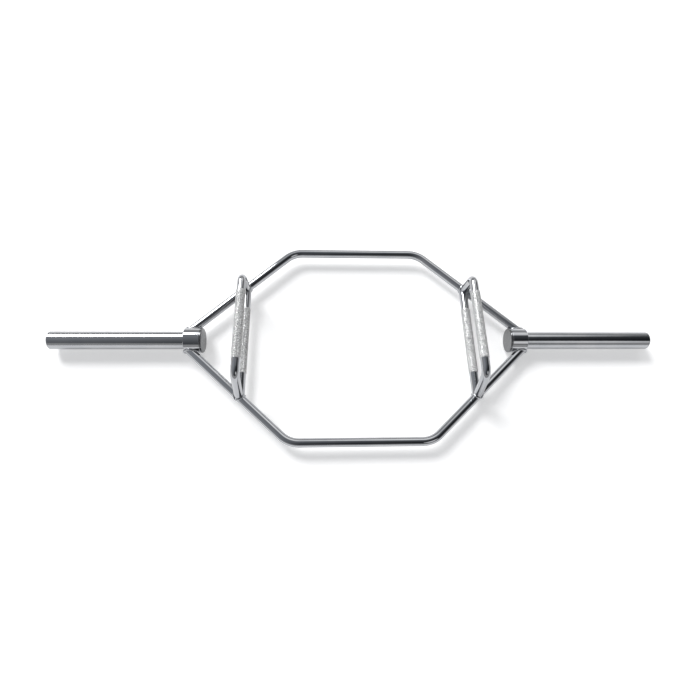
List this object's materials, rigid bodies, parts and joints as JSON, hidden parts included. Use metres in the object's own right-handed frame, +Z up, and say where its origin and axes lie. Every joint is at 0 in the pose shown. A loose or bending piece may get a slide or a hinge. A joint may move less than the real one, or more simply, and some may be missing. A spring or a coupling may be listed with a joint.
{
  "type": "hex trap bar",
  "caption": "Chrome hexagonal deadlift bar that a lifter stands inside, with knurled low and raised handles and plate sleeves at each end.",
  "frame": {"origin": "on the floor under the middle of the bar, midway between the sleeves", "axes": "+X along the sleeves, +Y to the rear straight, +Z up towards the raised grips"},
  "size_m": [1.702, 0.6086, 0.1556],
  "materials": {
    "frame_chrome": "bright chrome plate on bent round bar",
    "collar_chrome": "bright chrome plate on turned collars",
    "sleeve_chrome": "bright chrome plate with faint lengthways polish",
    "handle_chrome": "chrome plate, bright at the ends and matt on the diamond knurl",
    "weld_chrome": "chrome plate over rippled weld beads"
  },
  "bodies": {
    "root": {"front_frame_bar": "frame_chrome", "rear_frame_bar": "frame_chrome", "left_collar": "collar_chrome", "left_collar_cap": "collar_chrome", "left_sleeve": "sleeve_chrome", "left_sleeve_plug": "sleeve_chrome", "left_low_handle": "handle_chrome", "left_raised_handle": "handle_chrome", "right_collar": "collar_chrome", "right_collar_cap": "collar_chrome", "right_sleeve": "sleeve_chrome", "right_sleeve_plug": "sleeve_chrome", "right_low_handle": "handle_chrome", "right_raised_handle": "handle_chrome", "left_front_collar_weld": "weld_chrome", "left_front_foot_weld": "weld_chrome", "left_front_low_weld": "weld_chrome", "left_rear_collar_weld": "weld_chrome", "left_rear_foot_weld": "weld_chrome", "left_rear_low_weld": "weld_chrome", "right_front_collar_weld": "weld_chrome", "right_front_foot_weld": "weld_chrome", "right_front_low_weld": "weld_chrome", "right_rear_collar_weld": "weld_chrome", "right_rear_foot_weld": "weld_chrome", "right_rear_low_weld": "weld_chrome"}
  },
  "joints": []
}
